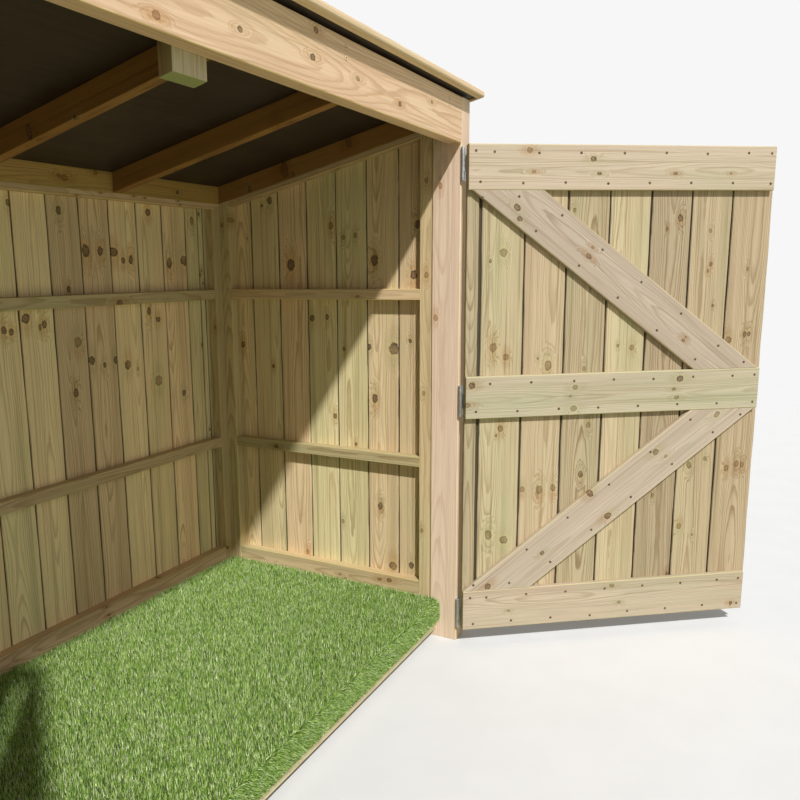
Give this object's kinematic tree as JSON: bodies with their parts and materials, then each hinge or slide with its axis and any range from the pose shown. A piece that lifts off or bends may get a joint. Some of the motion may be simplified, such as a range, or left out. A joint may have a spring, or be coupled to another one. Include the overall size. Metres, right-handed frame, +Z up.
{
  "type": "bike shelter",
  "caption": "Timber bike shelter for small bikes and trikes: boarded walls, single slope roof, raised turfed floor, ledged and braced double doors.",
  "frame": {"origin": "on the ground, under the middle of the shelter's plan, on the underside of the middle floor bearer", "axes": "+X to the right seen from the front, +Y from the doors to the back wall, +Z up"},
  "size_m": [3.4073, 1.9618, 1.8736],
  "materials": {
    "frame_timber": "planed pressure-treated softwood, satin",
    "board_timber": "planed pressure-treated softwood, satin",
    "door_timber": "planed pressure-treated softwood, satin",
    "floor_timber": "sawn pressure-treated softwood, matt",
    "roof_sheet": "dark film-faced sheet, semi-matt",
    "turf": "artificial grass pile, matt",
    "zinc_steel": "bright zinc plated, slightly dulled"
  },
  "bodies": {
    "shelter": {"header_beam": "frame_timber", "door_stop_block": "frame_timber", "ground_bearers": "floor_timber", "floor_joists": "floor_timber", "floor_back_rim": "floor_timber", "floor_fascia": "floor_timber", "floor_deck": "floor_timber", "floor_turf": "turf", "turf_front_fold": "turf", "back_wall_studs": "frame_timber", "back_wall_rails": "frame_timber", "wall_plate": "frame_timber", "back_wall_boards": "board_timber", "centre_rafter": "frame_timber", "roof_deck": "roof_sheet", "front_roof_trim": "frame_timber", "back_roof_trim": "frame_timber", "left_front_post": "frame_timber", "left_front_stud": "frame_timber", "left_rear_stud": "frame_timber", "left_wall_rails": "frame_timber", "left_wall_boards": "board_timber", "left_edge_rafter": "frame_timber", "left_rafter": "frame_timber", "left_roof_trim": "frame_timber", "left_hinge_jambs": "zinc_steel", "right_front_post": "frame_timber", "right_front_stud": "frame_timber", "right_rear_stud": "frame_timber", "right_wall_rails": "frame_timber", "right_wall_boards": "board_timber", "right_edge_rafter": "frame_timber", "right_rafter": "frame_timber", "right_roof_trim": "frame_timber", "right_hinge_jambs": "zinc_steel"},
    "right_door": {"right_door_boards": "door_timber", "right_door_ledges": "door_timber", "right_door_braces": "door_timber", "right_door_hinge_straps": "zinc_steel"},
    "left_door": {"left_door_boards": "door_timber", "left_door_ledges": "door_timber", "left_door_braces": "door_timber", "left_door_hinge_straps": "zinc_steel"}
  },
  "joints": [
    {"name": "right_door_hinge", "type": "hinge", "parent": "shelter", "child": "right_door", "pos_m": [1.059, -0.532, 0.866], "axis": [0, 0, 1], "range_deg": [-128, 47]},
    {"name": "left_door_hinge", "type": "hinge", "parent": "shelter", "child": "left_door", "pos_m": [-1.059, -0.532, 0.866], "axis": [0, 0, -1], "range_deg": [-128, 47]}
  ]
}
